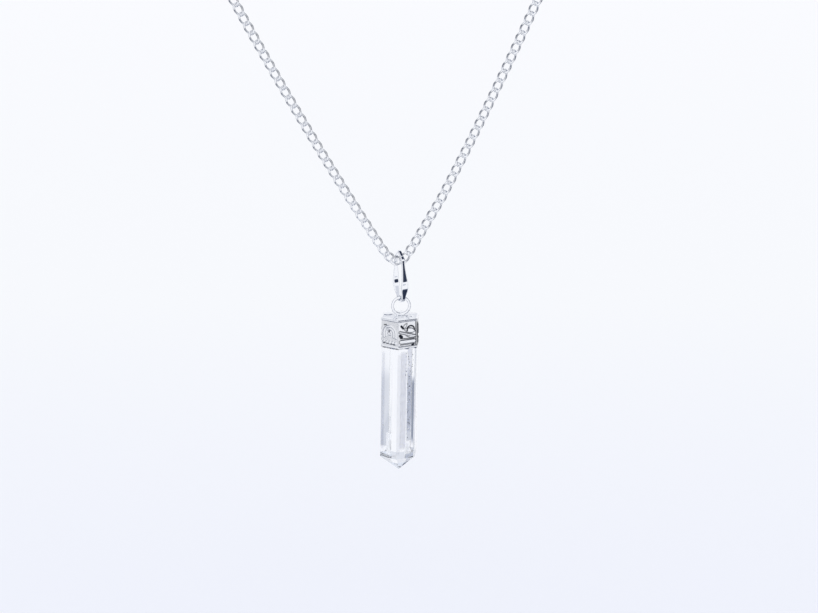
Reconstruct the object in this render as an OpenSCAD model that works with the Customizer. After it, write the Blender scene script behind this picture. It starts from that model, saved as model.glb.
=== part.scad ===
// Crystal point pendant hung on a curb chain, in millimetres.
// The origin is the middle of the chain at the nape, where the closed loop rests on a neck or a peg.
// +Z is up, and the front of the pendant faces -Y.

/* [Chain] */
// Length of one chain link from joint to joint
link_pitch = 2.26; // [2.2:0.02:2.4]
// Diameter of the chain wire
wire_d = 0.5; // [0.45:0.01:0.52]
// Width of a link over its wires, seen from the front
link_w = 2.15; // [2.1:0.01:2.3]
// Roll of each link off the front, to one side and the other by turns
link_roll = 35; // [34:1:38]
// Clear gap between the wires where two links hook
hook_gap = 0.12; // [0.11:0.01:0.16]
// Extra closeness of two links for each degree that the chain bends at their joint
bend_slack = 0.0068; // [0.006:0.0002:0.008]
// Number of links in each half of the loop, without the bottom link
half_links = 97; // [80:1:110]

/* [Hang of the chain] */
// Rise of the first link beside the bottom one, from level
first_rise = 47; // [40:1:48]
// Rise of the second link
second_rise = 57; // [52:1:60]
// Rise of the straight arm at its lower end
arm_low_rise = 59.4; // [58:0.2:62]
// Rise of the straight arm at its upper end
arm_high_rise = 63.8; // [62:0.2:68]
// Number of links in the straight arm
arm_links = 28; // [24:1:32]
// Sideways lean of the whole loop, its bottom towards +X
loop_lean = 3.06; // [0:0.1:5]

/* [Clasp] */
// Diameter of the clasp ring along its wire's middle
clasp_ring_d = 5; // [4.6:0.1:6]
// Wire of the clasp ring
clasp_wire_d = 1; // [0.9:0.05:1.2]
// Diameter of the clasp's small eye along its wire's middle
clasp_eye_d = 1.9; // [1.8:0.05:2.2]
// Wire of the clasp's small eye
clasp_eye_wire_d = 0.6; // [0.5:0.05:0.7]
// Roll of the clasp's eye about the chain's line, with its ring square to it
clasp_roll = -55; // [-60:1:-50]
// Diameter of the end ring along its wire's middle
end_ring_d = 2.9; // [2.7:0.1:3.3]
// Wire of the end ring
end_ring_wire_d = 0.7; // [0.6:0.05:0.8]

/* [Bail] */
// Thickness of the bail's band
band_t = 0.42; // [0.35:0.01:0.45]
// Outer radius of the bail's peak, over the chain
peak_r = 0.7; // [0.65:0.05:0.9]
// Height of the peak's middle above the chain
peak_rise = 1.6; // [1.4:0.05:1.7]
// Outer radius of the bail's eye, round the chain
eye_r = 1.92; // [1.92:0.01:1.98]
// Outer radius of the bail's belly
belly_r = 2.45; // [2.3:0.05:2.6]
// Outer radius of the bail's foot, in the cap's ring
foot_r = 1.55; // [1.5:0.05:1.7]
// Depth of the belly's middle below the chain
belly_drop = 5.4; // [5:0.1:5.8]
// Depth of the bail's lowest point below the chain's middle
bail_drop = 9.46; // [9.4:0.02:9.6]
// Width of the band at the chain
band_top_w = 0.85; // [0.7:0.05:0.85]
// Width of the band at its belly
band_belly_w = 1.5; // [1.2:0.05:1.6]
// Width of the band at its foot
band_foot_w = 0.9; // [0.7:0.05:0.9]
// Shift of the bail along the chain, clear of the rising links beside it
bail_shift = 0.36; // [0.34:0.01:0.38]
// Turn of the bail about the vertical
bail_yaw = 26; // [20:1:26]
// Sideways lean of the bail
bail_lean = 2.1; // [1.5:0.1:2.5]

/* [Cap] */
// Drop from the middle of the bail's foot band to the middle of the eye ring
ring_drop = 0.97; // [0.95:0.01:1]
// Outer diameter of the eye ring
ring_od = 4.47; // [4.4:0.01:4.6]
// Wire of the eye ring
ring_wire_d = 0.67; // [0.6:0.01:0.68]
// Turn of the eye ring about the vertical
ring_yaw = 10; // [8:1:14]
// Diameter of the solder under the eye ring
solder_d = 2.4; // [2:0.1:3]
// Height of the solder above the cap
solder_h = 0.15; // [0.1:0.01:0.2]
// Offset of the cap's axis from the ring, along X
cap_offset = -0.24; // [-0.3:0.02:0]
// Radius of the cap over its corners
cap_r = 4.66; // [4.6:0.01:4.8]
// Height of the cap
cap_h = 6.6; // [6:0.1:7]
// Thickness of the cap's sheet
sheet_t = 0.22; // [0.2:0.01:0.24]
// Thickness of the cap's top plate
plate_t = 0.5; // [0.4:0.05:0.6]
// Turn of the cap and crystal about the vertical
point_yaw = -4.5; // [-8:0.5:0]
// Height of the cap's raised relief
relief_t = 0.16; // [0.1:0.01:0.18]
// Height of the rims along the cap's top and bottom edges
rim_h = 0.5; // [0.4:0.05:0.6]

/* [Crystal] */
// Radius of the crystal over its corners
crystal_r = 4.47; // [4.4:0.01:4.5]
// Visible length of the crystal's six long sides
prism_h = 25.5; // [22:0.5:28]
// Length of the six-sided point
tip_h = 3.75; // [3.2:0.05:4.2]
// Sideways shift of the crystal's lower end
tip_shift = -0.42; // [-0.6:0.02:0]
// Gap between the crystal and the inside of the cap
seat_gap = 0.07; // [0.06:0.01:0.1]
// Height of the shoulder between the crystal's seat and its long sides
shoulder_h = 0.15; // [0.1:0.05:0.3]

/* [Hidden] */
$fn = 32;
// Depth by which joined pieces of one solid sink into each other
bite = 0.1;
// Length by which a cutting shape passes what it cuts
over = 1;
sides = 6;
// Steps in the rounds of the bail's outline
peak_steps = 6;
eye_steps = 6;
belly_steps = 4;
foot_steps = 12;
// Place of the crystal's very tip, off the middle of its lower end
apex = [0.1, 0.15];

// Leaves of the scroll relief, each with its place across and up the face, turn, length and width
leaves = [
    [0.55, 4.05, -12, 2.6, 1],
    [-0.6, 5.1, 48, 1.3, 0.5],
    [0.75, 2.62, -14, 2, 0.4]
];
// Bars of the scroll relief, each with its place across and up the face, turn, length and width
bars = [
    [0, 3.2, -17, 4.2, 0.4],
    [0, 1.55, 0, 3.9, 0.8]
];
// Arches of the arch relief, each with its outer radius, width and leg
arches = [
    [1.8, 0.42, 1.1],
    [1.15, 0.34, 0.9]
];
// Rise of the arches' middle up the face
arch_rise = 3.3;
// Raised bead in the arches, with a pit in its middle
bead_d = 0.95;
pit_d = 0.4;
// Scallops in a row under the arches
scallops = 5;
scallop_gap = 0.78;
scallop_rise = 1.2;
scallop_d = 0.66;

// Links: a link is two half rings and the two straight sides between them
link_r = (link_w - wire_d) / 2 / cos(link_roll);
link_half = (link_pitch + wire_d + hook_gap) / 2 - link_r;

// Closure at the nape, laid out from the joint with the left half to the joint with the right half
hook = (wire_d + hook_gap) / 2;
eye_hook = (wire_d + clasp_eye_wire_d) / 2 + hook_gap - hook;
clasp_ring_x = clasp_eye_d + clasp_ring_d / 2 - bite - eye_hook;
ring_hook = (clasp_wire_d + end_ring_wire_d) / 2 + hook_gap;
end_ring_x = clasp_ring_x + clasp_ring_d / 2 - ring_hook + end_ring_d / 2;
closure = end_ring_x + end_ring_d / 2 - (wire_d + end_ring_wire_d) / 2 - hook_gap + hook;

// Rise of link k, with the upper arm turning to upright at the knee and over the nape beyond it
nape_end = 180 - 90 / (half_links - arm_links) / 2;
function rise(k, knee) =
    k == 0 ? 0
    : k == 1 ? first_rise
    : k == 2 ? second_rise
    : k <= arm_links + 2 ? arm_low_rise + (arm_high_rise - arm_low_rise) * (k - 3) / (arm_links - 1)
    : k <= knee ? arm_high_rise + (90 - arm_high_rise) * (k - arm_links - 2) / (knee - arm_links - 2)
    : 90 + (nape_end - 90) * (k - knee) / (half_links - knee);
// Distance between the middles of link k and the one before it
function step(k, knee) = link_pitch - bend_slack * (rise(k, knee) - rise(k - 1, knee));
function total(v) = [for (x = v) 1] * v;
// Sideways reach of the half loop, from the bottom link to the joint at the closure
function reach(knee) = total([for (k = [1:half_links])
    step(k, knee) / 2 * (cos(rise(k - 1, knee)) + cos(rise(k, knee)))])
    + link_pitch / 2 * cos(rise(half_links, knee));
// The knee that closes the loop on the clasp, by halving the interval
function find_knee(low, high, turns) =
    turns == 0 ? (low + high) / 2
    : reach((low + high) / 2) > closure / 2 ? find_knee(low, (low + high) / 2, turns - 1)
    : find_knee((low + high) / 2, high, turns - 1);
knee_margin = 4;
knee_turns = 24;
knee = find_knee(arm_links + knee_margin, half_links - knee_margin, knee_turns);
rises = [for (k = [0:half_links]) rise(k, knee)];
// Middle of each link, from the bottom link up
middles = [for (k = 0, p = [0, 0]; k <= half_links; k = k + 1,
    p = p + (k > half_links ? [0, 0] : step(k, knee) / 2
        * [cos(rises[k - 1]) + cos(rises[k]), sin(rises[k - 1]) + sin(rises[k])])) p];
top_joint = middles[half_links] + link_pitch / 2 * [cos(rises[half_links]), sin(rises[half_links])];
loop_h = top_joint[1];

// Hanging point of the bail and of the point
chain_x = loop_h * sin(loop_lean);
chain_z = -loop_h * cos(loop_lean);
foot_drop = bail_drop - band_t / 2;
foot_x = bail_shift + foot_drop * sin(bail_lean);
foot_z = foot_drop * cos(bail_lean);
ring_r = (ring_od - ring_wire_d) / 2;
plate_z = -ring_od / 2 + bite;
flat = cos(180 / sides);
cap_flat = cap_r * flat;
ground_r = cap_r - relief_t / flat;
pocket_r = ground_r - sheet_t / flat;
seat_r = pocket_r - seat_gap / flat;
corner_turn = -90 + point_yaw;

// One oval link, its length along X and its opening along Z
module oval_link() {
    for (turn = [0, 180])
        rotate([0, 0, turn])
            translate([link_half, 0, 0])
                rotate_extrude(angle = 180, start = -90)
                    translate([link_r, 0])
                        circle(d = wire_d);
    for (side = [-1, 1])
        translate([0, side * link_r, 0])
            rotate([0, 90, 0])
                cylinder(d = wire_d, h = 2 * link_half, center = true);
}

// The right half of the loop, with or without the bottom link
module half_chain(first) {
    for (k = [first:half_links])
        translate([middles[k][0], 0, middles[k][1] - loop_h])
            rotate([0, -rises[k], 0])
                rotate([90 + (k % 2 == 0 ? link_roll : -link_roll), 0, 0])
                    oval_link();
}

module in_loop() {
    rotate([0, -loop_lean, 0])
        children();
}

module wire_ring(d, wire) {
    rotate_extrude()
        translate([d / 2, 0])
            circle(d = wire);
}

module chain_right() color("silver")
    in_loop()
        half_chain(0);

module chain_left() color("silver")
    in_loop()
        mirror([1, 0, 0])
            half_chain(1);

module clasp() color("lightgray")
    in_loop()
        translate([-closure / 2, 0, 0])
            rotate([90 + clasp_roll, 0, 0]) {
                translate([clasp_eye_d / 2 - eye_hook, 0, 0])
                    wire_ring(clasp_eye_d, clasp_eye_wire_d);
                translate([clasp_ring_x, 0, 0])
                    rotate([90, 0, 0])
                        wire_ring(clasp_ring_d, clasp_wire_d);
            }

module end_ring() color("lightgray")
    in_loop()
        translate([end_ring_x - closure / 2, 0, 0])
            rotate([90 + clasp_roll, 0, 0])
                wire_ring(end_ring_d, end_ring_wire_d);

function arc(y, r, from, to, steps) = [for (i = [0:steps])
    [r * cos(from + (to - from) * i / steps), y + r * sin(from + (to - from) * i / steps)]];

// The bail's side outline, smaller by an inset: four rounds joined by flats
module egg(inset) {
    foot_y = foot_r - bail_drop;
    peak_tilt = asin((eye_r - peak_r) / peak_rise);
    upper_tilt = asin((belly_r - eye_r) / belly_drop);
    lower_tilt = asin((foot_r - belly_r) / (-belly_drop - foot_y));
    polygon(concat(
        arc(-belly_drop, belly_r - inset, lower_tilt, upper_tilt, belly_steps),
        arc(0, eye_r - inset, upper_tilt, peak_tilt, eye_steps),
        arc(peak_rise, peak_r - inset, peak_tilt, 180 - peak_tilt, peak_steps),
        arc(0, eye_r - inset, 180 - peak_tilt, 180 - upper_tilt, eye_steps),
        arc(-belly_drop, belly_r - inset, 180 - upper_tilt, 180 - lower_tilt, belly_steps),
        arc(foot_y, foot_r - inset, 180 - lower_tilt, 360 + lower_tilt, foot_steps)
    ));
}

module band_loop() {
    rotate([90, 0, 90])
        linear_extrude(band_belly_w, center = true)
            difference() {
                egg(0);
                egg(band_t);
            }
}

// The band seen from the front: narrow at the chain, wide at the belly, narrow in the ring
module band_front() {
    // Right-hand side of the outline, from the top down
    right = [
        [band_top_w / 2, peak_rise + peak_r + over],
        [band_top_w / 2, over - belly_drop + belly_r],
        [band_belly_w / 2 + bite, -belly_drop],
        [band_belly_w / 2 + bite, -belly_drop - belly_r / 2],
        [band_foot_w / 2, foot_r - bail_drop],
        [band_foot_w / 2, -bail_drop - over]
    ];
    last = len(right) - 1;
    rotate([90, 0, 0])
        linear_extrude(2 * (belly_r + over), center = true)
            polygon(concat(right, [for (i = [0:last]) [-right[last - i][0], right[last - i][1]]]));
}

module bail() color("gainsboro")
    translate([chain_x + bail_shift, 0, chain_z])
        rotate([0, -bail_lean, 0])
            rotate([0, 0, bail_yaw])
                intersection() {
                    band_loop();
                    band_front();
                }

// Puts a piece in the frame of the eye ring's middle
module in_point() {
    translate([chain_x + foot_x, 0, chain_z - foot_z - ring_drop])
        children();
}

// Puts a piece in the frame of the cap's bottom edge
module in_cap() {
    translate([cap_offset, 0, plate_z - cap_h])
        children();
}

module hexagon(r, h) {
    rotate([0, 0, corner_turn])
        cylinder(r = r, h = h, $fn = sides);
}

// Half of a raised ring, standing on short legs
module arch(r, w, leg) {
    difference() {
        circle(r = r);
        circle(r = r - w);
        translate([-2 * r, -2 * r])
            square([4 * r, 2 * r]);
    }
    for (side = [-1, 1])
        translate([side * (r - w / 2) - w / 2, -leg])
            square([w, leg + bite]);
}

// A pointed leaf
module leaf(length, width) {
    r = (length * length + width * width) / (4 * width);
    intersection() {
        translate([0, r - width / 2])
            circle(r = r);
        translate([0, width / 2 - r])
            circle(r = r);
    }
}

// Relief with arches, a bead under them and a row of scallops
module arch_face() {
    translate([0, arch_rise]) {
        for (a = arches)
            arch(a[0], a[1], a[2]);
        difference() {
            circle(d = bead_d);
            circle(d = pit_d);
        }
    }
    for (i = [0:scallops - 1])
        translate([(i - (scallops - 1) / 2) * scallop_gap, scallop_rise])
            circle(d = scallop_d);
}

// Relief with leaves on both sides of a slanting band, over a bar
module scroll_face() {
    for (l = leaves)
        translate([l[0], l[1]])
            rotate(l[2])
                leaf(l[3], l[4]);
    for (b = bars)
        translate([b[0], b[1]])
            rotate(b[2])
                square([b[3], b[4]], center = true);
}

module relief() {
    for (face = [0:sides - 1])
        rotate([0, 0, corner_turn + (face + 0.5) * 360 / sides])
            translate([cap_flat - relief_t - bite, 0, 0])
                rotate([90, 0, 90])
                    linear_extrude(relief_t + bite)
                        if (face % 2 == 0)
                            scroll_face();
                        else
                            arch_face();
}

module sleeve() {
    difference() {
        union() {
            hexagon(ground_r, cap_h);
            hexagon(cap_r, rim_h);
            translate([0, 0, cap_h - rim_h])
                hexagon(cap_r, rim_h);
        }
        translate([0, 0, -bite])
            hexagon(pocket_r, cap_h - plate_t + bite);
    }
}

module cap() color("silver")
    in_point() {
        in_cap() {
            sleeve();
            relief();
        }
        rotate([0, 0, ring_yaw])
            rotate([90, 0, 0])
                wire_ring(2 * ring_r, ring_wire_d);
        translate([0, 0, plate_z - bite])
            cylinder(d = solder_d, h = bite + solder_h);
    }

function corners(r, z, shift) = [for (i = [0:sides - 1])
    [r * cos(corner_turn + i * 360 / sides) + shift, r * sin(corner_turn + i * 360 / sides), z]];

module crystal() color("aliceblue")
    in_point()
        in_cap() {
            seat_top = corners(seat_r, cap_h - plate_t - seat_gap, 0);
            seat_foot = corners(seat_r, -seat_gap, 0);
            prism_top = corners(crystal_r, -seat_gap - shoulder_h, 0);
            prism_foot = corners(crystal_r, -prism_h, tip_shift);
            tip = [apex[0] + tip_shift, apex[1], -prism_h - tip_h];
            polyhedron(concat(seat_top, seat_foot, prism_top, prism_foot, [tip]), [
                [for (i = [0:sides - 1]) sides - 1 - i],
                for (level = [0:2], i = [0:sides - 1]) [
                    level * sides + i, level * sides + (i + 1) % sides,
                    (level + 1) * sides + (i + 1) % sides, (level + 1) * sides + i
                ],
                for (i = [0:sides - 1]) [3 * sides + i, 3 * sides + (i + 1) % sides, 4 * sides]
            ]);
        }

chain_left();
chain_right();
clasp();
end_ring();
bail();
cap();
crystal();
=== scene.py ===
"""Crystal point pendant on a curb chain: its looks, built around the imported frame.

Sizes are in millimetres and become metres through MM. +Z is up, and the camera side faces -Y.
"""

import math

import bmesh
import bpy
import numpy as np
from mathutils import Matrix, Vector, noise


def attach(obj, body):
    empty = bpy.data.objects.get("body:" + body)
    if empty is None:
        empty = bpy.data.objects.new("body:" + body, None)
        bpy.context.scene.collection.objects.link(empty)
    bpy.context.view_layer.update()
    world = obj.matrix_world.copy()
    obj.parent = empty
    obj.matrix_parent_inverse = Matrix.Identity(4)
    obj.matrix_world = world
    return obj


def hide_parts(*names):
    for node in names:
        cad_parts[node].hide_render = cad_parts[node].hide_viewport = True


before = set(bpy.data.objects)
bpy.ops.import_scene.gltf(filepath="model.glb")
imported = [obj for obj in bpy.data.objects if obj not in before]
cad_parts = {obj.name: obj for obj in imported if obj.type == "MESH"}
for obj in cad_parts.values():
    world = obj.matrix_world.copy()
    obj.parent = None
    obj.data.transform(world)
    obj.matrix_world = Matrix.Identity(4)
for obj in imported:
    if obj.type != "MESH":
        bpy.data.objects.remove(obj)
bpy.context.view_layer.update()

MM = 0.001

# Camera
LENS = 100.0
SENSOR = 36.0
CAM_AIM = (12.06, 0.0, -190.2)
CAM_DISTANCE = 500.0
CAM_ELEVATION = 15.0

# Stage
FLOOR_Z = -262.0
FLOOR_SIZE = 9000.0
# Floor colours at distances behind the pendant: painted shade, darker near the pendant and in front of it,
# paler far behind it
FLOOR_SHADE_COLOURS = [
    (0.0, (0.869, 0.884, 0.935)),
    (270.0, (0.928, 0.935, 0.937)),
    (1090.0, (0.954, 0.953, 0.953)),
]
SKY_COLOUR = (0.955, 0.965, 1.0)
SKY_LIGHT = 1.05
# Shades that gloss and glass see: turn about the vertical from +X, height, half angle, softness, light
ZONES = [
    (-39.0, -3.0, 7.5, 0.8, 0.03),
    (-30.0, 40.0, 18.5, 1.0, 0.04),
    (13.0, 64.0, 12.0, 4.0, 0.05),
    (-28.0, -44.0, 6.0, 2.0, 0.05),
    (-158.2, -16.72, 0.93, 0.12, 0.27),
    (-159.0, 19.5, 2.5, 0.5, 0.65),
    (-39.2, -20.6, 3.2, 0.25, 0.64),
    (90.5, 16.0, 4.0, 1.0, 0.8),
    (-39.5, 20.0, 3.1, 0.3, 0.72),
    (36.0, -28.9, 12.0, 0.5, 0.7),
]
# Grey belt about the line of sight: share of light at angles from the direction of the camera
BELT = [
    (0.0, 1.0),
    (79.0, 1.0),
    (86.0, 0.2),
    (108.0, 0.2),
    (115.0, 1.0),
]
BELT_AXIS = (0.0, -0.966, 0.259)
# Shades lean to blue: powers of the share of light for red, green and blue
SHADE_POWERS = (1.0, 0.92, 0.75)

# Chain
LINK_PITCH = 2.26
WIRE_D = 0.5
LINK_ROUND = 0.825
HOOK_GAP = 0.12
LINK_TWIST = 38.0
TWIST_REACH = 0.45
BEND_SLACK = 0.0068
HALF_LINKS = 97
FIRST_RISE = 47.0
SECOND_RISE = 57.0
ARM_LOW_RISE = 59.4
ARM_HIGH_RISE = 63.8
ARM_LINKS = 28
LOOP_LEAN = 3.06
LINK_STEPS = 48
WIRE_SIDES = 10
KNEE_MARGIN = 4.0
KNEE_TURNS = 24
# Darkening on the links' long sides, tarnish together with painted shade: reach from a link's middle, the
# inner side, and the outer side by links
TARNISH_AND_SHADE_MIDDLE = 0.25
TARNISH_AND_SHADE_END = 0.95
INNER_TARNISH_AND_SHADE = 0.42
LEFT_TARNISH_AND_SHADE = [(0, 0.0), (7, 0.0), (12, 0.3), (97, 0.3)]
RIGHT_TARNISH_AND_SHADE = [(0, 0.2), (97, 0.2)]
# Small drift of the arms off the even line, by links
RIGHT_DRIFT = [(0, 0.0), (2, 0.0), (8, -0.65), (30, -0.8), (45, -0.6), (80, 0.0), (97, 0.0)]
LEFT_DRIFT = [(0, 0.0), (2, 0.0), (8, 0.3), (30, 1.6), (40, 1.7), (80, 0.0), (97, 0.0)]

# Closure at the nape, which sets the loop's width there
CLOSURE = 7.96
NAPE_ROLL = -73.0
NAPE_ROLL_FROM = 40

# Bail
BAND_T = 0.42
PEAK_R = 0.7
PEAK_RISE = 1.6
EYE_R = 1.92
BELLY_R = 2.45
BELLY_ARC_R = 6.0
FOOT_R = 1.55
BELLY_DROP = 5.4
BELLY_ARC_DROP = 4.5
BAIL_STEPS = 16
BAIL_SPACING = 0.15
BAND_EDGE = 0.11
BAND_DOME = 0.012
FLARE_DROP = 1.3
BAIL_DROP = 9.46
BAND_TOP_W = 0.76
BAND_BELLY_W = 1.6
BAND_FOOT_W = 0.9
BAIL_SHIFT = 0.36
BAIL_YAW = 26.0
BAIL_LEAN = 2.1

# Cap
RING_DROP = 0.97
RING_OD = 4.47
RING_WIRE_D = 0.67
RING_YAW = 10.0
CAP_OFFSET = -0.24
CAP_R = 4.66
CAP_H = 6.6
SHEET_T = 0.22
PLATE_T = 0.5
POINT_YAW = -4.5
RELIEF_T = 0.16
RIM_H = 0.5
BITE = 0.1
SIDES = 6
FLAT = math.cos(math.pi / SIDES)
PLATE_DOME = 0.12
PLATE_ROUND_R = 0.22
RIM_EDGE = 0.1
SIDE_FADE = 0.22
RELIEF_LOW = 0.14
# Ragged lower edge of the cap, and its waves: rise, how close they follow, and shift from face to face
LIP_T = SHEET_T + 0.1
LIP_H = 0.06
LIP_DIP = 0.04
LIP_WAVES = [
    (0.05, 5.0, 2.1),
    (0.04, 11.0, 1.0),
]
RING_STEPS = 96
RING_SIDES = 24
# Leaves of the scroll relief: place across and up the face, turn, length and width
LEAVES = [
    (0.55, 4.05, -12.0, 2.6, 1.0),
    (-0.6, 5.1, 48.0, 1.3, 0.5),
    (0.75, 2.62, -14.0, 2.0, 0.4),
]
# Bars of the scroll relief: place across and up the face, turn, length and width
BARS = [
    (0.0, 3.2, -17.0, 4.2, 0.4),
    (0.0, 1.55, 0.0, 3.9, 0.8),
]
# Arches of the arch relief: outer radius, width and leg
ARCHES = [
    (1.8, 0.42, 1.1),
    (1.15, 0.34, 0.9),
]
ARCH_RISE = 3.3
BEAD_D = 0.95
PIT_D = 0.4
SCALLOPS = 5
SCALLOP_GAP = 0.78
SCALLOP_RISE = 1.2
SCALLOP_D = 0.66
# Dark strokes on the scroll relief: tarnish, except the last, along the face's right edge, which is painted
# shade. Place across and up the face, turn, length and width
SCROLL_STROKES = [
    (-1.28, 4.85, -50.0, 1.2, 0.5),
    (0.55, 3.3, -15.0, 2.7, 0.13),
    (-1.6, 2.8, -42.0, 1.2, 0.75),
    (-0.1, 2.25, -3.0, 3.7, 0.2),
    (0.0, 0.88, 0.0, 3.8, 0.16),
    (1.3, 0.75, 20.0, 0.8, 0.5),
    # Along the face's right edge: painted shade.
    (2.08, 3.2, 90.0, 5.6, 0.34),
]
# Dark arch among them: place across and up the face, outer radius, width and leg
SCROLL_HOOD = (0.75, 4.15, 1.08, 0.36, 0.25)
# Dark strokes on the arch relief
ARCH_STROKES = [
    (-1.2, 5.1, 10.0, 0.9, 0.32),
    (-0.14, 3.75, 0.0, 0.5, 0.5),
    (-1.45, 1.05, 15.0, 0.6, 0.36),
    (-0.6, 0.95, -10.0, 0.5, 0.32),
    (0.35, 0.9, 20.0, 0.5, 0.36),
    (1.05, 0.85, -20.0, 0.6, 0.4),
]
# Darkening of each face, from the front right one round to the front left one: crevices, ground, raised
# parts. The crevices hold tarnish together with painted shade, the amounts change from face to face with how
# each face is lit, and the right face's ground and raised parts are painted shade, nearly black all over.
CAP_TARNISH_AND_SHADE = np.array([
    (0.75, 0.04, 0.0),
    (0.7, 0.98, 0.88),
    (0.6, 0.3, 0.1),
    (0.6, 0.2, 0.0),
    (0.6, 0.3, 0.1),
    (0.16, 0.2, 0.08),
])
# Share of their darkness that the strokes keep on each face
STROKE_SHARES = np.array([1.0, 0.6, 0.6, 0.6, 0.6, 0.85])
CREVICE_REACH = 0.12
STROKE_EDGE = 0.06
CAP_CORNER_R = 0.14
FACE_COLUMNS = 66
CORNER_COLUMNS = 6
RELIEF_ROWS = 96

# Raised lobe, solder mound and beads on the plate: place, radius and height
PLATE_BUMPS = [
    (-2.6, 1.5, 1.35, 0.3),
    (0.24, 0.0, 1.1, 0.3),
    (1.55, -0.4, 0.5, 0.16),
    (2.5, -0.75, 0.45, 0.13),
]
PLATE_ROWS = 30

# Crystal
CRYSTAL_R = 4.47
PRISM_H = 25.5
TIP_H = 3.75
TIP_SHIFT = -0.42
SEAT_GAP = 0.07
SHOULDER_H = 0.15
APEX = (0.1, 0.15)
EDGE_BEVEL = 0.05
WORN_CORNER = 1
WORN_WIDTH = 0.4
# Sheets inside it that paint the crystal's greys and lights: the three bluish grey ones are painted shade,
# the two pale ones, which glow, are painted light. Columns: facet, reach across and down, density, share of
# the edge that fades, paleness
SHADE_AND_LIGHT_VEILS = [
    (5, (0.0, 0.2), (-1.0, -24.0), 0.16, 0.3, 0.5),
    (0, (0.0, 0.2), (-1.0, -24.8), 0.14, 0.3, 0.5),
    (0, (0.16, 0.5), (-0.6, -23.6), 0.28, 0.12, 0.5),
    (5, (0.3, 0.64), (-19.6, -24.9), 0.85, 0.3, 1.0),
    (0, (0.44, 0.78), (-21.8, -24.6), 0.85, 0.3, 1.0),
]
VEIL_DEPTH = 0.3
VEIL_END_FADE = 0.06
# Patches in the sheets: how fine across and down, and how strong
PATCHES = (9.0, 0.9)
PATCH_SHARE = 0.25
VEIL_ROWS = 60
VEIL_COLUMNS = 16
# Fields of flakes below the front right facet: reach across and down, and how many
FLAKE_FIELDS = [
    (0.45, 0.85, -6.6, -1.0, 60),
    (0.55, 0.68, -21.0, -6.6, 70),
    (0.5, 0.75, -24.0, -23.0, 8),
]
FLAKE_DENSITY = 0.75
FLAKE_SEED = 5
FLAKE_DEPTHS = (0.3, 0.7)
FLAKE_SIZES = (0.05, 0.16)
FLAKE_LENGTH = 1.6
DARK_FLAKES = 0.6

# Colours
SILVER_COLOUR = (0.93, 0.94, 0.96)
TARNISH_AND_SHADE_COLOUR = (0.015, 0.018, 0.028)
QUARTZ_COLOUR = (0.97, 0.98, 1.0)
QUARTZ_IOR = 1.544


def turn(angle, axis):
    """A rotation by an angle in degrees."""
    return Matrix.Rotation(math.radians(angle), 4, axis)


def move(x, y, z):
    return Matrix.Translation((x, y, z))


def moved(points, matrix):
    """An array of points, moved by a matrix."""
    m = np.array(matrix)
    return points @ m[:3, :3].T + m[:3, 3]


def smooth_step(low, high, x):
    t = np.clip((x - low) / (high - low), 0.0, 1.0)
    return t * t * (3.0 - 2.0 * t)


# Chain's line, as the frame has it

def rise(k, knee):
    """Rise of link k from level: the bottom links, the straight arm, then the turn over the nape."""
    nape_end = 180.0 - 90.0 / (HALF_LINKS - ARM_LINKS) / 2.0
    if k < 3:
        return (0.0, FIRST_RISE, SECOND_RISE)[k]
    if k <= ARM_LINKS + 2:
        return ARM_LOW_RISE + (ARM_HIGH_RISE - ARM_LOW_RISE) * (k - 3) / (ARM_LINKS - 1)
    if k <= knee:
        return ARM_HIGH_RISE + (90.0 - ARM_HIGH_RISE) * (k - ARM_LINKS - 2) / (knee - ARM_LINKS - 2)
    return 90.0 + (nape_end - 90.0) * (k - knee) / (HALF_LINKS - knee)


def chain_line(knee):
    """Rise and middle of each link of the right half, and the sideways reach to the closure."""
    rises = [rise(k, knee) for k in range(HALF_LINKS + 1)]
    middles = [Vector((0.0, 0.0))]
    for low, high in zip(rises, rises[1:]):
        half_step = (LINK_PITCH - BEND_SLACK * (high - low)) / 2.0
        a, b = math.radians(low), math.radians(high)
        step = Vector((math.cos(a) + math.cos(b), math.sin(a) + math.sin(b)))
        middles.append(middles[-1] + half_step * step)
    last = math.radians(rises[-1])
    top = middles[-1] + LINK_PITCH / 2.0 * Vector((math.cos(last), math.sin(last)))
    return rises, middles, top


def find_knee():
    """The link at which the arms stand upright, so that the loop closes on the clasp."""
    low, high = ARM_LINKS + KNEE_MARGIN, HALF_LINKS - KNEE_MARGIN
    for _ in range(KNEE_TURNS):
        middle = (low + high) / 2.0
        if chain_line(middle)[2].x > CLOSURE / 2.0:
            high = middle
        else:
            low = middle
    return (low + high) / 2.0


RISES, MIDDLES, TOP = chain_line(find_knee())
LOOP_H = TOP.y
CHAIN_X = LOOP_H * math.sin(math.radians(LOOP_LEAN))
CHAIN_Z = -LOOP_H * math.cos(math.radians(LOOP_LEAN))
IN_LOOP = turn(-LOOP_LEAN, "Y")

FOOT_DROP = BAIL_DROP - BAND_T / 2.0
IN_BAIL = (
    move(CHAIN_X + BAIL_SHIFT, 0.0, CHAIN_Z) @ turn(-BAIL_LEAN, "Y") @ turn(BAIL_YAW, "Z")
)
IN_POINT = move(
    CHAIN_X + BAIL_SHIFT + FOOT_DROP * math.sin(math.radians(BAIL_LEAN)),
    0.0,
    CHAIN_Z - FOOT_DROP * math.cos(math.radians(BAIL_LEAN)) - RING_DROP,
)
PLATE_Z = -RING_OD / 2.0 + BITE
CAP_FLAT = CAP_R * FLAT
SEAT_R = CAP_R - (RELIEF_T + SHEET_T + SEAT_GAP) / FLAT
CORNER_TURN = -90.0 + POINT_YAW
IN_CAP = IN_POINT @ move(CAP_OFFSET, 0.0, PLATE_Z - CAP_H)


# Meshes

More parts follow.
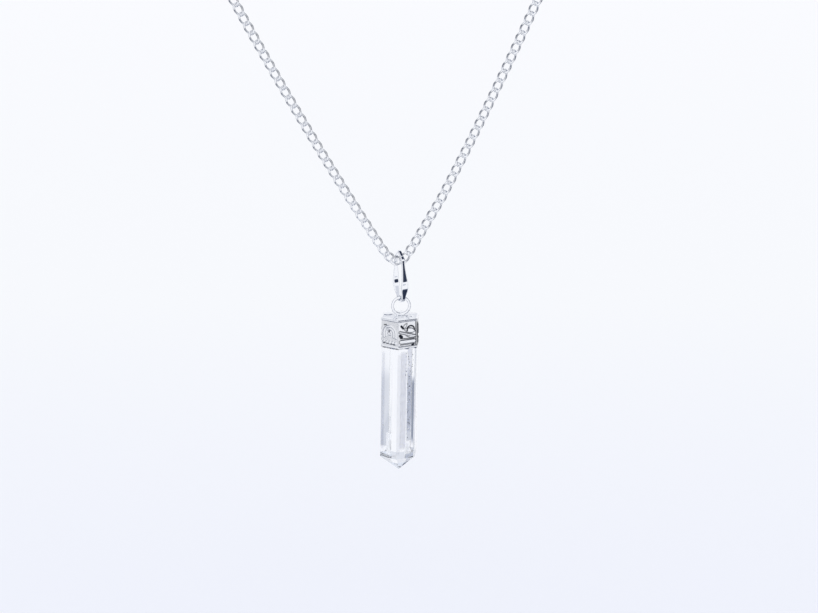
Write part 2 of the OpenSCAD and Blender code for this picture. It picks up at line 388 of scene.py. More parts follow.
def make_piece(name, points, faces, material, smooth=True):
    """A mesh object from points in millimetres."""
    mesh = bpy.data.meshes.new(name)
    mesh.from_pydata((np.asarray(points) * MM).tolist(), [], [tuple(f) for f in faces])
    mesh.validate()
    mesh.materials.append(material)
    mesh.polygons.foreach_set("use_smooth", [smooth] * len(mesh.polygons))
    piece = bpy.data.objects.new(name, mesh)
    bpy.context.scene.collection.objects.link(piece)
    return piece


def set_attribute(piece, name, values):
    """One number a point, for the piece's material."""
    attribute = piece.data.attributes.new(name, "FLOAT", "POINT")
    attribute.data.foreach_set("value", np.array(values, dtype=np.float32))


def grid_faces(rows, columns, closed_rows=False):
    """Quads of a grid whose columns close on themselves, and whose rows may."""
    last = rows if closed_rows else rows - 1
    return [
        (
            r * columns + c,
            r * columns + (c + 1) % columns,
            (r + 1) % rows * columns + (c + 1) % columns,
            (r + 1) % rows * columns + c,
        )
        for r in range(last)
        for c in range(columns)
    ]


def swept(path, side, up, section):
    """Points of a section carried round a path: section holds steps along side and up."""
    section = np.asarray(section)
    return (
        path[:, None, :]
        + side[:, None, :] * section[None, :, 0:1]
        + up[:, None, :] * section[None, :, 1:2]
    ).reshape(-1, 3)


def circle_section(diameter, sides):
    angles = np.arange(sides) * 2.0 * math.pi / sides
    return np.stack([np.cos(angles), np.sin(angles)], 1) * diameter / 2.0


def ring_points(diameter, wire, steps, sides):
    """A round ring of wire in the plane of X and Y."""
    angles = np.arange(steps) * 2.0 * math.pi / steps
    out = np.stack([np.cos(angles), np.sin(angles), np.zeros(steps)], 1)
    up = np.tile((0.0, 0.0, 1.0), (steps, 1))
    return swept(out * diameter / 2.0, out, up, circle_section(wire, sides))


# Chain

def twisted_link():
    """One curb link along X, an oval of wire twisted about its length: its points, and the side each is on.

    The side is 0 at the link's ends, 1 on its inner long side and -1 on the outer one.
    """
    straight = (LINK_PITCH + WIRE_D + HOOK_GAP) - 2.0 * LINK_ROUND
    bow = math.pi * LINK_ROUND
    lengths = np.arange(LINK_STEPS) * 2.0 * (bow + straight) / LINK_STEPS
    path, outward = [], []
    for s in lengths:
        end = 1.0 if s < bow + straight else -1.0
        s = s % (bow + straight)
        angle = min(s, bow) / LINK_ROUND - math.pi / 2.0
        run = max(s - bow, 0.0)
        out = Vector((math.cos(angle), math.sin(angle), 0.0))
        path.append(end * Vector((straight / 2.0 + out.x * LINK_ROUND - run, out.y * LINK_ROUND, 0.0)))
        outward.append(end * out)
    path, outward = np.array(path), np.array(outward)
    up = np.tile((0.0, 0.0, 1.0), (LINK_STEPS, 1))
    points = swept(path, outward, up, circle_section(WIRE_D, WIRE_SIDES))
    reach = straight / 2.0 + TWIST_REACH * LINK_ROUND
    share = np.repeat(np.clip(path[:, 0] / reach, -1.0, 1.0), WIRE_SIDES)
    roll = math.radians(LINK_TWIST) * np.sin(share * math.pi / 2.0)
    y = points[:, 1] * np.cos(roll) - points[:, 2] * np.sin(roll)
    z = points[:, 1] * np.sin(roll) + points[:, 2] * np.cos(roll)
    sides = 1.0 - smooth_step(TARNISH_AND_SHADE_MIDDLE, TARNISH_AND_SHADE_END, np.abs(points[:, 0]))
    return np.stack([points[:, 0], y, z], 1), sides * np.sign(points[:, 1])


def chain_half(name, first, facing, drift, outer_tarnish_and_shade, nape_roll):
    """One half of the loop. facing turns the right half about the vertical into the left one."""
    link, sides = twisted_link()
    drifts = np.interp(range(HALF_LINKS + 1), *zip(*drift))
    slopes = np.degrees(np.gradient(drifts) / LINK_PITCH)
    outer = np.interp(range(HALF_LINKS + 1), *zip(*outer_tarnish_and_shade))
    faces = grid_faces(LINK_STEPS, WIRE_SIDES, closed_rows=True)
    points, all_faces, shade = [], [], []
    for k in range(first, HALF_LINKS + 1):
        share = (k - NAPE_ROLL_FROM) / (HALF_LINKS - NAPE_ROLL_FROM)
        roll = nape_roll * float(smooth_step(0.0, 1.0, share))
        place = (
            IN_LOOP
            @ turn(facing, "Z")
            @ move(MIDDLES[k].x, 0.0, MIDDLES[k].y - LOOP_H)
            @ turn(-RISES[k], "Y")
            @ move(0.0, 0.0, drifts[k])
            @ turn(-slopes[k], "Y")
            @ turn(90.0 + roll, "X")
        )
        offset = (k - first) * len(link)
        points.append(moved(link, place))
        # Painted shade with tarnish on the links' long sides, more on the inner side.
        shade.append(1.0 - np.where(sides > 0.0, sides * INNER_TARNISH_AND_SHADE, -sides * outer[k]))
        all_faces += [tuple(offset + i for i in face) for face in faces]
    piece = make_piece(name, np.concatenate(points), all_faces, SILVER_WIRE)
    # The relief attribute holds the links' tarnish and painted shade.
    set_attribute(piece, "relief", np.concatenate(shade))
    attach(piece, "necklace")
    return piece


def build_chain():
    right = chain_half("chain_links_right", 0, 0.0, RIGHT_DRIFT, RIGHT_TARNISH_AND_SHADE, NAPE_ROLL)
    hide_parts("chain_right")
    left = chain_half("chain_links_left", 1, 180.0, LEFT_DRIFT, LEFT_TARNISH_AND_SHADE, 0.0)
    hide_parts("chain_left")


# Bail

def tangent(first, second):
    """Angle of the outward direction at which a flat joins two rounds, each given as (y, z, radius)."""
    dy, dz = second[0] - first[0], second[1] - first[1]
    return math.degrees(math.atan2(dz, dy) + math.acos((first[2] - second[2]) / math.hypot(dy, dz)))


def bail_outline():
    """Side outline of the bail as (y, z) points with their outward directions: rounds joined by flats."""
    peak = (0.0, PEAK_RISE, PEAK_R)
    eye = (0.0, 0.0, EYE_R)
    belly = (BELLY_R - BELLY_ARC_R, -BELLY_ARC_DROP, BELLY_ARC_R)
    foot = (0.0, FOOT_R - BAIL_DROP, FOOT_R)
    joins = [90.0, tangent(peak, eye), tangent(eye, belly), tangent(belly, foot), -90.0]
    path = []
    for (y, z, radius), start, stop in zip((peak, eye, belly, foot), joins, joins[1:]):
        for angle in np.radians(np.linspace(start, stop, BAIL_STEPS)):
            out = (math.cos(angle), math.sin(angle))
            path.append((y + radius * out[0], z + radius * out[1], *out))
    mirrored = [(-y, z, -out_y, out_z) for y, z, out_y, out_z in reversed(path[1:-1])]
    corners = path + mirrored
    path = []
    for a, b in zip(corners, corners[1:] + corners[:1]):
        pieces = max(1, round(math.dist(a[:2], b[:2]) / BAIL_SPACING))
        path += [np.array(a) + (np.array(b) - np.array(a)) * i / pieces for i in range(pieces)]
    return np.array(path[::-1])


def band_section(half_width):
    """Cross-section of the band, slightly domed outside, its edges rounded: (across, outward) points."""
    flat = half_width - BAND_EDGE
    points = []
    for i in range(9):
        x = (i / 4.0 - 1.0) * flat
        points.append((x, BAND_DOME * (1.0 - (x / half_width) ** 2) - BAND_DOME))
    points += band_edge(flat, 1.0)
    for i in range(5):
        points.append(((1.0 - i / 2.0) * flat, -BAND_T))
    points += band_edge(flat, -1.0)
    return points


def band_edge(flat, end):
    """Rounded edge of the band, from its outside in at end 1 and from its inside out at end -1."""
    points = []
    for angle in (60.0, 30.0, 0.0, -30.0, -60.0):
        a = math.radians(angle * end)
        outward = -BAND_EDGE - BAND_DOME * 0.3 if angle * end > 0 else -BAND_T + BAND_EDGE
        points.append((end * (flat + BAND_EDGE * math.cos(a)), outward + BAND_EDGE * math.sin(a)))
    return points


def band_half_width(z):
    """Half the band's width at a height: narrow at the chain, wide at the belly, narrow in the ring."""
    foot_top = FOOT_R - BAIL_DROP
    belly_low = -BELLY_DROP - BELLY_R / 2.0
    heights = (-BAIL_DROP, foot_top, belly_low, -BELLY_DROP, -FLARE_DROP, PEAK_RISE)
    widths = (BAND_FOOT_W, BAND_FOOT_W, BAND_BELLY_W, BAND_BELLY_W, BAND_TOP_W, BAND_TOP_W)
    smoothed = [np.interp(z + shift, heights, widths) for shift in (-0.5, -0.25, 0.0, 0.25, 0.5)]
    return sum(smoothed) / len(smoothed) / 2.0


def build_bail():
    loop = bail_outline()
    points = []
    for y, z, out_y, out_z in loop:
        for across, outward in band_section(band_half_width(z)):
            points.append((across, y + out_y * outward, z + out_z * outward))
    sides = len(band_section(1.0))
    faces = grid_faces(len(loop), sides, closed_rows=True)
    piece = make_piece("bail_band", moved(np.array(points), IN_BAIL), faces, SILVER_BAIL)
    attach(piece, "bail")
    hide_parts("bail")


# Cap's relief: heights from 0 to 1 at x across a face and y up it, in millimetres

def bump(distance, edge=0.07):
    """Raised where a signed distance is below zero, with a rounded edge."""
    return 1.0 - smooth_step(-edge, edge, distance)


def disc(x, y, cx, cy, r):
    return np.hypot(x - cx, y - cy) - r


def bar(x, y, cx, cy, angle, length, width):
    """Distance to a bar with round ends."""
    a = math.radians(angle)
    u = (x - cx) * math.cos(a) + (y - cy) * math.sin(a)
    v = (y - cy) * math.cos(a) - (x - cx) * math.sin(a)
    du = np.maximum(np.abs(u) - length / 2.0 + width / 2.0, 0.0)
    return np.hypot(du, v) - width / 2.0


def leaf(x, y, cx, cy, angle, length, width):
    """Distance to a pointed leaf: where two large rounds overlap."""
    a = math.radians(angle)
    u = (x - cx) * math.cos(a) + (y - cy) * math.sin(a)
    v = (y - cy) * math.cos(a) - (x - cx) * math.sin(a)
    r = (length * length + width * width) / (4.0 * width)
    return np.maximum(np.hypot(u, v + r - width / 2.0), np.hypot(u, v - r + width / 2.0)) - r


def arch(x, y, cy, r, width, leg):
    """Distance to half a ring on two legs."""
    ring = np.abs(np.hypot(x, y - cy) - r + width / 2.0) - width / 2.0
    legs = np.maximum(np.abs(np.abs(x) - r + width / 2.0) - width / 2.0, cy - leg - y)
    return np.where(y > cy, ring, legs)


def arch_face(x, y):
    """Distance to two arches over a pitted bead, and to a row of scallops."""
    shapes = [arch(x, y, ARCH_RISE, r, width, leg) for r, width, leg in ARCHES]
    bead = disc(x, y, 0.0, ARCH_RISE, BEAD_D / 2.0)
    pit = disc(x, y, 0.0, ARCH_RISE, PIT_D / 2.0)
    shapes.append(np.maximum(bead, -pit))
    for i in range(SCALLOPS):
        place = (i - (SCALLOPS - 1) / 2.0) * SCALLOP_GAP
        shapes.append(disc(x, y, place, SCALLOP_RISE, SCALLOP_D / 2.0))
    return np.minimum.reduce(shapes)


def scroll_face(x, y):
    """Distance to leaves on both sides of a slanting band, and to the bars."""
    shapes = [leaf(x, y, *row) for row in LEAVES] + [bar(x, y, *row) for row in BARS]
    return np.minimum.reduce(shapes)


def scroll_strokes(x, y):
    """Distance to the dark strokes on the scroll relief."""
    cx, cy, r, width, leg = SCROLL_HOOD
    shapes = [bar(x, y, *row) for row in SCROLL_STROKES] + [arch(x - cx, y, cy, r, width, leg)]
    return np.minimum.reduce(shapes)


def arch_strokes(x, y):
    """Distance to the dark strokes on the arch relief."""
    return np.minimum.reduce([bar(x, y, *row) for row in ARCH_STROKES])


def plate_height(x, y):
    """Height of the lobe and the solder above the plate."""
    height = np.zeros_like(x)
    for cx, cy, r, rise in PLATE_BUMPS:
        share = np.clip(1.0 - ((x - cx) ** 2 + (y - cy) ** 2) / (r * r), 0.0, 1.0)
        height = np.maximum(height, rise * np.sqrt(share))
    return height


def hexagon_columns():
    """Columns round the cap: outline point, outward direction, the face, and the place across it."""
    side = CAP_R - CAP_CORNER_R / FLAT
    rows = []
    for face in range(SIDES):
        facing = math.radians(CORNER_TURN + (face + 0.5) * 360.0 / SIDES)
        out = Vector((math.cos(facing), math.sin(facing)))
        along = Vector((-out.y, out.x))
        middle = out * CAP_FLAT
        for i in range(FACE_COLUMNS + 1):
            x = (i / FACE_COLUMNS - 0.5) * side
            place = middle + along * x
            rows.append((place.x, place.y, out.x, out.y, face, x))
        corner = middle + along * side / 2.0 - out * CAP_CORNER_R
        for i in range(1, CORNER_COLUMNS):
            a = facing + math.radians(360.0 / SIDES * i / CORNER_COLUMNS)
            direction = Vector((math.cos(a), math.sin(a)))
            place = corner + direction * CAP_CORNER_R
            rows.append((place.x, place.y, direction.x, direction.y, face, side / 2.0))
    return np.array(rows)


def build_cap():
    """Plate, walls with their relief, ragged lip and inside of the cap, with the eye ring on top."""
    columns = hexagon_columns()
    place, out = columns[:, 0:2], columns[:, 2:4]
    face, x = columns[:, 4], columns[:, 5]
    rows, shades = [], []

    def add_row(scale, inset, z, shade):
        """One row of the wall: the outline, scaled about the axis and set in along its own direction."""
        level = np.broadcast_to(z, (len(columns),))
        rows.append(np.column_stack([place * scale - out * np.reshape(inset, (-1, 1)), level]))
        shades.append(np.broadcast_to(shade, (len(columns),)))

    full = np.zeros(len(columns))
    corner = np.abs(x) > CAP_R / 2.0 - CAP_CORNER_R / FLAT
    kind = face.astype(int)
    for scale in np.linspace(0.02, 0.94, PLATE_ROWS):
        bumps = plate_height(place[:, 0] * scale, place[:, 1] * scale)
        add_row(scale, full, CAP_H - PLATE_DOME * scale ** 2 + bumps, 1.0)
    for angle in (90.0, 70.0, 45.0, 20.0, 0.0):
        a = math.radians(angle)
        inset = full + PLATE_ROUND_R * (1.0 - math.cos(a))
        add_row(1.0, inset, CAP_H - PLATE_DOME - PLATE_ROUND_R * (1.0 - math.sin(a)), 1.0)
    for level in np.linspace(CAP_H - PLATE_DOME - PLATE_ROUND_R - 0.02, RELIEF_LOW, RELIEF_ROWS):
        distance = np.where(face % 2 == 0, scroll_face(x, level), arch_face(x, level))
        side_fade = smooth_step(0.0, SIDE_FADE, CAP_R / 2.0 - CAP_CORNER_R / FLAT / 2.0 - np.abs(x))
        low_rim = 1.0 - smooth_step(RIM_H - RIM_EDGE, RIM_H + RIM_EDGE, level)
        high_rim = smooth_step(CAP_H - RIM_H - RIM_EDGE, CAP_H - RIM_H + RIM_EDGE, level)
        rim = max(low_rim, high_rim)
        height = np.maximum(bump(distance) * side_fade, rim)
        strokes = np.where(face % 2 == 0, scroll_strokes(x, level), arch_strokes(x, level))
        # Painted shade with tarnish: dark crevices beside the relief, more on some faces than others, and
        # the right face nearly black.
        crevices, ground, raised = CAP_TARNISH_AND_SHADE[kind].T
        crevice = crevices * np.exp(-((distance - CREVICE_REACH / 2.0) / CREVICE_REACH) ** 2)
        dark = np.maximum(ground + (raised - ground) * height, (1.0 - rim) * crevice)
        dark = np.maximum(dark, STROKE_SHARES[kind] * bump(strokes, STROKE_EDGE))
        add_row(1.0, RELIEF_T * (1.0 - height), level, 1.0 - np.where(corner, 0.0, dark))
    wave = sum(rise * np.sin(x * waves + face * shift) for rise, waves, shift in LIP_WAVES)
    lip = LIP_H + np.maximum(wave, -LIP_DIP)
    add_row(1.0, full + 0.03, lip, 1.0)
    # The lip's underside and the inside of the cap are painted dark, partly and then fully: painted shade.
    add_row(1.0, full + LIP_T / 2.0, 0.02 + np.maximum(wave, 0.0), 0.6)
    add_row(1.0, full + LIP_T, lip, 0.3)
    add_row(1.0, full + LIP_T, 1.0, 0.0)
    add_row(1.0, full + LIP_T, CAP_H - PLATE_T, 0.0)
    add_row(0.02, full, CAP_H - PLATE_T, 0.0)
    points = np.concatenate(rows)
    count = len(columns)
    faces = [tuple(reversed(f)) for f in grid_faces(len(rows), count)]
    faces.append(tuple(range(count)))
    faces.append(tuple(reversed(range((len(rows) - 1) * count, len(rows) * count))))
    shade = np.concatenate(shades)
    points = moved(points, IN_CAP)

    ring = ring_points(RING_OD - RING_WIRE_D, RING_WIRE_D, RING_STEPS, RING_SIDES)
    ring = moved(ring, IN_POINT @ turn(RING_YAW, "Z") @ turn(90.0, "X"))
    ring_faces = grid_faces(RING_STEPS, RING_SIDES, closed_rows=True)
    faces += [tuple(len(points) + i for i in f) for f in ring_faces]
    points = np.concatenate([points, ring])
    shade = np.concatenate([shade, np.ones(len(ring))])
    piece = make_piece("cap_shell", points, faces, SILVER_CAP)
    # The relief attribute holds the cap's tarnish and painted shade, the inside's too.
    set_attribute(piece, "relief", shade)
    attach(piece, "point")
    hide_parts("cap")


# Crystal

def outline(r, z, shift):
    """Corners of the crystal at a height. The front right one is worn to a narrow flat."""
    points = []
    for i in range(SIDES):
        a = math.radians(CORNER_TURN + i * 360.0 / SIDES)
        corner = Vector((r * math.cos(a) + shift, r * math.sin(a), z))
        if i == WORN_CORNER:
            for turned in (-1.0, 1.0):
                b = a + turned * 2.0 * math.pi / 3.0
                points.append(corner + WORN_WIDTH * Vector((math.cos(b), math.sin(b), 0.0)))
        else:
            points.append(corner)
    return points


def crystal_shell():
    """Outer surface of the crystal: points, faces and how many of the first faces are its seat."""
    rings = [
        outline(SEAT_R, CAP_H - PLATE_T - SEAT_GAP, 0.0),
        outline(SEAT_R, -SEAT_GAP, 0.0),
        outline(CRYSTAL_R, -SEAT_GAP - SHOULDER_H, 0.0),
        outline(CRYSTAL_R, -PRISM_H, TIP_SHIFT),
    ]
    count = len(rings[0])
    points = [p for ring in rings for p in ring] + [Vector((TIP_SHIFT + APEX[0], APEX[1], -PRISM_H - TIP_H))]
    faces = [tuple(range(count))]
    for level in range(3):
        for i in range(count):
            j = (i + 1) % count
            low, high = level * count, (level + 1) * count
            faces.append((low + j, low + i, high + i, high + j))
    for i in range(count):
        faces.append((3 * count + (i + 1) % count, 3 * count + i, 4 * count))
    return points, faces, 1 + count


def on_facet(corner, u, z, depth):
    """A point below a long facet: u runs from its corner to the next one round, depth goes in."""
    a, b = (math.radians(CORNER_TURN + (corner + i) * 360.0 / SIDES) for i in (0, 1))
    shift = TIP_SHIFT * -z / PRISM_H
    first = Vector((CRYSTAL_R * math.cos(a), CRYSTAL_R * math.sin(a)))
    second = Vector((CRYSTAL_R * math.cos(b), CRYSTAL_R * math.sin(b)))
    place = first.lerp(second, u) - depth * ((first + second) / 2.0).normalized()
    return (place.x + shift, place.y, z)


def veil(corner, u_range, z_range, density, edge):
    """A faint sheet below a facet, which paints shade and light inside the crystal: points, faces and
    density, fading over its edges.
    """
    points, values = [], []
    for row in range(VEIL_ROWS + 1):
        for column in range(VEIL_COLUMNS + 1):
            across, down = column / VEIL_COLUMNS, row / VEIL_ROWS
            u = u_range[0] + (u_range[1] - u_range[0]) * across
            z = z_range[0] + (z_range[1] - z_range[0]) * down
            points.append(on_facet(corner, u, z, VEIL_DEPTH))
            cloud = 1.0 + PATCH_SHARE * noise.noise(Vector((u * PATCHES[0], z * PATCHES[1], corner)))
            side_fade = min(1.0, (1.0 - abs(2.0 * across - 1.0)) / edge)
            end_fade = min(1.0, (1.0 - abs(2.0 * down - 1.0)) / VEIL_END_FADE)
            values.append(density * cloud * side_fade * end_fade)
    columns = VEIL_COLUMNS + 1
    faces = [
        (r * columns + c, r * columns + c + 1, (r + 1) * columns + c + 1, (r + 1) * columns + c)
        for r in range(VEIL_ROWS)
        for c in range(VEIL_COLUMNS)
    ]
    return points, faces, values


def flakes():
    """Small flakes inside the crystal near its front right edge: points, faces and shades."""
    draw = np.random.default_rng(FLAKE_SEED)
    points, faces, shades = [], [], []
    for u_low, u_high, z_low, z_high, count in FLAKE_FIELDS:
        for _ in range(count):
            u = draw.uniform(u_low, u_high)
            z = draw.uniform(z_low, z_high)
            middle = Vector(on_facet(0, u, z, draw.uniform(*FLAKE_DEPTHS)))
            size = draw.uniform(*FLAKE_SIZES)
            spin = Matrix.Rotation(draw.uniform(0.0, math.pi), 3, Vector(draw.normal(size=3)).normalized())
            start = len(points)
            for across, down in ((-1.0, 0.0), (0.0, -FLAKE_LENGTH), (1.0, 0.0), (0.0, FLAKE_LENGTH)):
                points.append(middle + spin @ Vector((across * size, 0.0, down * size)))
            faces.append((start, start + 1, start + 2, start + 3))
            shades += [draw.choice((0.0, 1.0), p=(DARK_FLAKES, 1.0 - DARK_FLAKES))] * 4
    return points, faces, shades


def build_crystal():
    """The shell with its small bevels, and the flakes and the sheets of painted shade and light inside it,
    as one piece.
    """
    points, faces, seat_faces = crystal_shell()
    shell = bpy.data.meshes.new("crystal_shell")
    shell.from_pydata([tuple(p) for p in points], [], faces)
    for face in shell.polygons[:seat_faces]:
        face.material_index = 1
    corners = SIDES + 1
    for level in (2, 3):
        shell.polygons[1 + level * corners + WORN_CORNER].material_index = 3
    mesh = bmesh.new()
    mesh.from_mesh(shell)
    bmesh.ops.recalc_face_normals(mesh, faces=mesh.faces)
    edges = list(mesh.edges)
    bmesh.ops.bevel(mesh, geom=edges, offset=EDGE_BEVEL, segments=2, affect="EDGES", profile=0.6)
    mesh.to_mesh(shell)
    mesh.free()
    points = [tuple(v.co) for v in shell.vertices]
    faces = [tuple(f.vertices) for f in shell.polygons]
    material_of = [f.material_index for f in shell.polygons]
    bpy.data.meshes.remove(shell)
    density = [0.0] * len(points)
    shade = [0.0] * len(points)

    # Sheets of painted shade (bluish grey) and of painted light (pale and glowing).
    for *sheet, paleness in SHADE_AND_LIGHT_VEILS:
        more, more_faces, values = veil(*sheet)
        faces += [tuple(len(points) + i for i in face) for face in more_faces]
        material_of += [2] * len(more_faces)
        points += [tuple(p) for p in more]
        density += values
        shade += [paleness] * len(more)
    more, more_faces, shades = flakes()
    faces += [tuple(len(points) + i for i in face) for face in more_faces]
    material_of += [2] * len(more_faces)
    points += [tuple(p) for p in more]
    density += [FLAKE_DENSITY] * len(more)
    shade += shades

    piece = make_piece("crystal_point", moved(np.array(points), IN_CAP), faces, QUARTZ, smooth=False)
    piece.data.materials.append(QUARTZ_SEAT)
    piece.data.materials.append(QUARTZ_FLAKES_SHADE_AND_GLOW)
    piece.data.materials.append(QUARTZ_WORN)
    piece.data.polygons.foreach_set("material_index", material_of)
    set_attribute(piece, "cloud", density)
    set_attribute(piece, "shade", shade)
    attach(piece, "point")
    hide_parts("crystal")


# Materials

def material(name):
    """A new material, its nodes and links, and its Principled shader."""
    made = bpy.data.materials.new(name)
    made.use_nodes = True
    nodes, links = made.node_tree.nodes, made.node_tree.links
    return made, nodes, links, nodes["Principled BSDF"]


def silver(name, colour, rough_low, rough_high, bump_scale, bump_height):
    """Polished silver plate: fine wear changes its gloss, and a shallow bump bends its reflections."""
    made, nodes, links, shader = material(name)
    place = nodes.new("ShaderNodeTexCoord")
    grain = nodes.new("ShaderNodeTexNoise")
    grain.inputs["Scale"].default_value = bump_scale
    grain.inputs["Detail"].default_value = 4.0
    links.new(place.outputs["Object"], grain.inputs["Vector"])
    rough = nodes.new("ShaderNodeMapRange")
    rough.inputs["From Min"].default_value = 0.35
    rough.inputs["From Max"].default_value = 0.7
    rough.inputs["To Min"].default_value = rough_low
    rough.inputs["To Max"].default_value = rough_high
    links.new(grain.outputs["Fac"], rough.inputs["Value"])
    links.new(rough.outputs["Result"], shader.inputs["Roughness"])
    relief = nodes.new("ShaderNodeBump")
    relief.inputs["Distance"].default_value = bump_height * MM
    relief.inputs["Strength"].default_value = 1.0
    links.new(grain.outputs["Fac"], relief.inputs["Height"])
    links.new(relief.outputs["Normal"], shader.inputs["Normal"])
    shader.inputs["Metallic"].default_value = 1.0
    shader.inputs["Base Color"].default_value = (*colour, 1.0)
    return made


def tarnish_and_painted_shade(made):
    """Tarnish and painted shade, in one dark colour, where the piece's relief attribute is low."""
    nodes, links = made.node_tree.nodes, made.node_tree.links
    shader = nodes["Principled BSDF"]
    # The relief attribute holds painted shade with tarnish: low is dark.
    height = nodes.new("ShaderNodeAttribute")
    height.attribute_name = "relief"
    ramp = nodes.new("ShaderNodeMapRange")
    ramp.inputs["From Min"].default_value = 0.0
    ramp.inputs["From Max"].default_value = 1.0
    links.new(height.outputs["Fac"], ramp.inputs["Value"])
    colours = nodes.new("ShaderNodeMix")
    colours.data_type = "RGBA"
    colours.inputs["A"].default_value = (*TARNISH_AND_SHADE_COLOUR, 1.0)
    colours.inputs["B"].default_value = (*SILVER_COLOUR, 1.0)
    links.new(ramp.outputs["Result"], colours.inputs["Factor"])
    links.new(colours.outputs["Result"], shader.inputs["Base Color"])
    return made


def quartz():
    made, _, _, shader = material("quartz_clear")
    shader.inputs["Base Color"].default_value = (*QUARTZ_COLOUR, 1.0)
    shader.inputs["Roughness"].default_value = 0.0
    shader.inputs["IOR"].default_value = QUARTZ_IOR
    shader.inputs["Transmission Weight"].default_value = 1.0
    return made


def quartz_seat():
    """Pale cement inside the cap. Its faint glow stands for the light that the crystal leads to it."""
    made, _, _, shader = material("quartz_seat")
    shader.inputs["Base Color"].default_value = (0.15, 0.16, 0.18, 1.0)
    shader.inputs["Roughness"].default_value = 0.8
    shader.inputs["Specular IOR Level"].default_value = 0.0
    shader.inputs["Emission Color"].default_value = (0.62, 0.66, 0.74, 1.0)
    shader.inputs["Emission Strength"].default_value = 1.0
    return made


def quartz_worn():
    """Worn edge of the crystal: frosted, and paler than the rest."""
    made, _, _, shader = material("quartz_worn")
    shader.inputs["Base Color"].default_value = (*QUARTZ_COLOUR, 1.0)
    shader.inputs["Roughness"].default_value = 0.45
    shader.inputs["IOR"].default_value = QUARTZ_IOR
    shader.inputs["Transmission Weight"].default_value = 0.35
    return made


def quartz_flakes_shade_and_glow():
    """Flakes and sheets inside the quartz, as dense and as pale as the mesh says at each point. The bluish
    grey of the sheets is painted shade; the pale sheets and flakes glow, which is painted light.
    """
    made, nodes, links, shader = material("quartz_flakes_shade_and_glow")
    density = nodes.new("ShaderNodeAttribute")
    density.attribute_name = "cloud"
    links.new(density.outputs["Fac"], shader.inputs["Alpha"])
    shade = nodes.new("ShaderNodeAttribute")
    shade.attribute_name = "shade"
    colours = nodes.new("ShaderNodeValToRGB")
    stops = colours.color_ramp.elements
    stops[0].color = (0.04, 0.05, 0.08, 1.0)
    stops[1].color = (*QUARTZ_COLOUR, 1.0)
    # The bluish middle colour is painted shade.
    stops.new(0.5).color = (0.17, 0.25, 0.55, 1.0)
    links.new(shade.outputs["Fac"], colours.inputs["Fac"])
    links.new(colours.outputs["Color"], shader.inputs["Base Color"])
    # Pale points glow: painted light.
    glow = nodes.new("ShaderNodeMapRange")
    glow.inputs["From Min"].default_value = 0.5
    glow.inputs["To Max"].default_value = 0.38
    links.new(shade.outputs["Fac"], glow.inputs["Value"])
    links.new(glow.outputs["Result"], shader.inputs["Emission Strength"])
    shader.inputs["Emission Color"].default_value = (0.94, 0.96, 1.0, 1.0)
    shader.inputs["Roughness"].default_value = 0.6
    shader.inputs["Specular IOR Level"].default_value = 0.0
    return made


def floor_painted_shade():
    """Matt paint whose colour changes with the distance behind the pendant: painted shade, darker near the
    pendant and paler far behind it.
    """
    made, nodes, links, shader = material("floor_painted_shade")
    place = nodes.new("ShaderNodeTexCoord")
    split = nodes.new("ShaderNodeSeparateXYZ")
    links.new(place.outputs["Object"], split.inputs["Vector"])
    far = FLOOR_SHADE_COLOURS[-1][0]
    share = nodes.new("ShaderNodeMapRange")
    share.inputs["From Max"].default_value = far * MM
    links.new(split.outputs["Y"], share.inputs["Value"])
    colours = nodes.new("ShaderNodeValToRGB")
    stops = colours.color_ramp.elements
    stops.remove(stops[-1])
    stops[0].color = (*FLOOR_SHADE_COLOURS[0][1], 1.0)
    for distance, colour in FLOOR_SHADE_COLOURS[1:]:
        stops.new(distance / far).color = (*colour, 1.0)
    links.new(share.outputs["Result"], colours.inputs["Fac"])
    links.new(colours.outputs["Color"], shader.inputs["Base Color"])
    shader.inputs["Roughness"].default_value = 0.9
    shader.inputs["Specular IOR Level"].default_value = 0.0
    return made


# Stage, light and camera

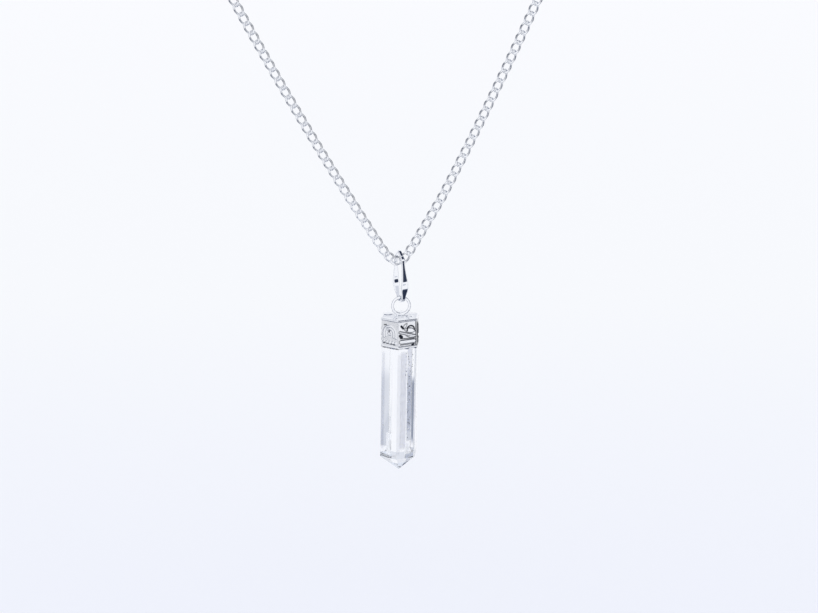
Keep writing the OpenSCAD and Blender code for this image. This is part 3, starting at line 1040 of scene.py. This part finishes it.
def zone_light(nodes, links, place):
    """Share of light in a direction, from the belt and each zone."""
    along = nodes.new("ShaderNodeVectorMath")
    along.operation = "DOT_PRODUCT"
    along.inputs[1].default_value = BELT_AXIS
    links.new(place, along.inputs[0])
    angle = nodes.new("ShaderNodeMath")
    angle.operation = "ARCCOSINE"
    links.new(along.outputs["Value"], angle.inputs[0])
    share = nodes.new("ShaderNodeMath")
    share.operation = "DIVIDE"
    share.inputs[1].default_value = math.pi
    links.new(angle.outputs[0], share.inputs[0])
    belt = nodes.new("ShaderNodeValToRGB")
    stops = belt.color_ramp.elements
    stops.remove(stops[-1])
    stops[0].color = (BELT[0][1],) * 3 + (1.0,)
    for degrees, value in BELT[1:]:
        stops.new(degrees / 180.0).color = (value, value, value, 1.0)
    links.new(share.outputs[0], belt.inputs["Fac"])
    light = belt.outputs["Color"]
    for azimuth, height, half_angle, softness, value in ZONES:
        near = nodes.new("ShaderNodeVectorMath")
        near.operation = "DISTANCE"
        a, h = math.radians(azimuth), math.radians(height)
        near.inputs[1].default_value = (math.cos(a) * math.cos(h), math.sin(a) * math.cos(h), math.sin(h))
        links.new(place, near.inputs[0])
        zone = nodes.new("ShaderNodeMapRange")
        zone.interpolation_type = "SMOOTHSTEP"
        zone.inputs["From Min"].default_value = 2.0 * math.sin(math.radians(half_angle - softness) / 2.0)
        zone.inputs["From Max"].default_value = 2.0 * math.sin(math.radians(half_angle + softness) / 2.0)
        zone.inputs["To Min"].default_value = value
        zone.inputs["To Max"].default_value = 1.0
        links.new(near.outputs["Value"], zone.inputs["Value"])
        product = nodes.new("ShaderNodeMath")
        product.operation = "MULTIPLY"
        links.new(light, product.inputs[0])
        links.new(zone.outputs["Result"], product.inputs[1])
        light = product.outputs[0]
    tinted = nodes.new("ShaderNodeCombineColor")
    for channel, power, full in zip(("Red", "Green", "Blue"), SHADE_POWERS, SKY_COLOUR):
        shaded = nodes.new("ShaderNodeMath")
        shaded.operation = "POWER"
        shaded.inputs[1].default_value = power
        links.new(light, shaded.inputs[0])
        scaled = nodes.new("ShaderNodeMath")
        scaled.operation = "MULTIPLY"
        scaled.inputs[1].default_value = full
        links.new(shaded.outputs[0], scaled.inputs[0])
        links.new(scaled.outputs[0], tinted.inputs[channel])
    return tinted.outputs["Color"]


def build_world():
    """Plain pale light, with a grey belt and a few zones that only gloss and glass see."""
    world = bpy.data.worlds.new("studio")
    bpy.context.scene.world = world
    world.use_nodes = True
    nodes, links = world.node_tree.nodes, world.node_tree.links
    plain = nodes["Background"]
    plain.inputs["Color"].default_value = (*SKY_COLOUR, 1.0)
    plain.inputs["Strength"].default_value = SKY_LIGHT
    place = nodes.new("ShaderNodeTexCoord")
    seen = nodes.new("ShaderNodeBackground")
    links.new(zone_light(nodes, links, place.outputs["Generated"]), seen.inputs["Color"])
    path = nodes.new("ShaderNodeLightPath")
    either = nodes.new("ShaderNodeMath")
    either.operation = "MAXIMUM"
    links.new(path.outputs["Is Glossy Ray"], either.inputs[0])
    links.new(path.outputs["Is Transmission Ray"], either.inputs[1])
    mix = nodes.new("ShaderNodeMixShader")
    links.new(either.outputs[0], mix.inputs["Fac"])
    links.new(plain.outputs["Background"], mix.inputs[1])
    links.new(seen.outputs["Background"], mix.inputs[2])
    links.new(mix.outputs["Shader"], nodes["World Output"].inputs["Surface"])


def build_floor():
    half = FLOOR_SIZE / 2.0
    points = [(-half, -half, FLOOR_Z), (half, -half, FLOOR_Z), (half, half, FLOOR_Z), (-half, half, FLOOR_Z)]
    # The floor's colour holds painted shade: darker near the pendant, paler far off.
    floor = make_piece("floor", points, [(0, 1, 2, 3)], floor_painted_shade(), smooth=False)
    floor.visible_glossy = False
    floor.visible_transmission = False


def build_camera():
    data = bpy.data.cameras.new("camera")
    data.lens = LENS
    data.sensor_width = SENSOR
    camera = bpy.data.objects.new("camera", data)
    bpy.context.scene.collection.objects.link(camera)
    tilt = math.radians(CAM_ELEVATION)
    back = Vector((0.0, -math.cos(tilt), math.sin(tilt)))
    camera.location = (Vector(CAM_AIM) + back * CAM_DISTANCE) * MM
    camera.rotation_euler = back.to_track_quat("Z", "Y").to_euler()
    bpy.context.scene.camera = camera


SILVER_WIRE = tarnish_and_painted_shade(silver("chain_silver", SILVER_COLOUR, 0.06, 0.16, 1400.0, 0.01))
SILVER_BAIL = silver("bail_silver", (0.94, 0.95, 0.97), 0.03, 0.08, 300.0, 0.02)
SILVER_CLASP = silver("clasp_silver", (0.9, 0.91, 0.94), 0.06, 0.16, 900.0, 0.02)
SILVER_CAP = tarnish_and_painted_shade(silver("cap_silver", SILVER_COLOUR, 0.08, 0.2, 900.0, 0.02))
QUARTZ = quartz()
QUARTZ_SEAT = quartz_seat()
QUARTZ_FLAKES_SHADE_AND_GLOW = quartz_flakes_shade_and_glow()
QUARTZ_WORN = quartz_worn()

bpy.context.scene.view_settings.view_transform = "Standard"
build_camera()
build_world()
build_floor()
build_chain()
build_bail()
build_cap()
build_crystal()
for name in ("clasp", "end_ring"):
    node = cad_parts[name]
    node.data.materials.clear()
    node.data.materials.append(SILVER_CLASP)
